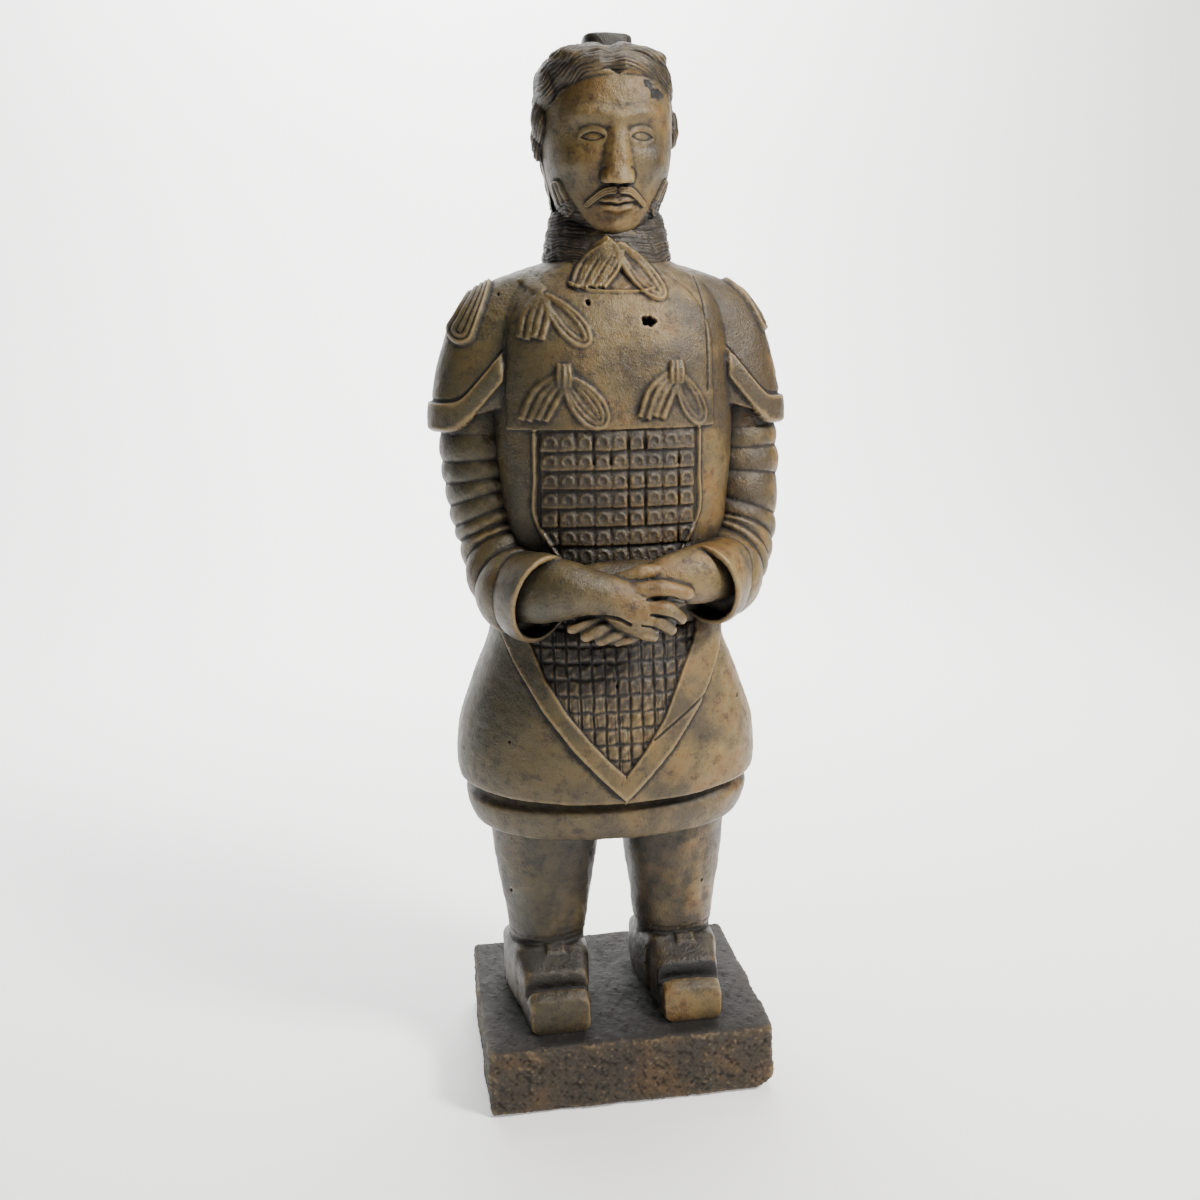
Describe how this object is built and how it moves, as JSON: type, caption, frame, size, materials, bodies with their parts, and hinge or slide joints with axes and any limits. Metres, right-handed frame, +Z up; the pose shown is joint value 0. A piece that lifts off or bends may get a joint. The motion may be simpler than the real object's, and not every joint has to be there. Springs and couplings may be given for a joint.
{
  "type": "stone warrior statue",
  "caption": "Cast stone statue of a standing warrior in scale armour and a long coat, hands folded before the belly, on a rectangular slab cast with it.",
  "frame": {"origin": "centre of the slab's underside, on the ground", "axes": "+Z up along the figure's height; the figure faces -Y; +X is to the right of someone who looks at its front"},
  "size_m": [0.2582, 0.1967, 0.7632],
  "materials": {
    "cast_stone": "stained ochre brown with dark recesses, worn, faintly sealed"
  },
  "bodies": {
    "root": {"stone_warrior": "cast_stone"}
  },
  "joints": []
}
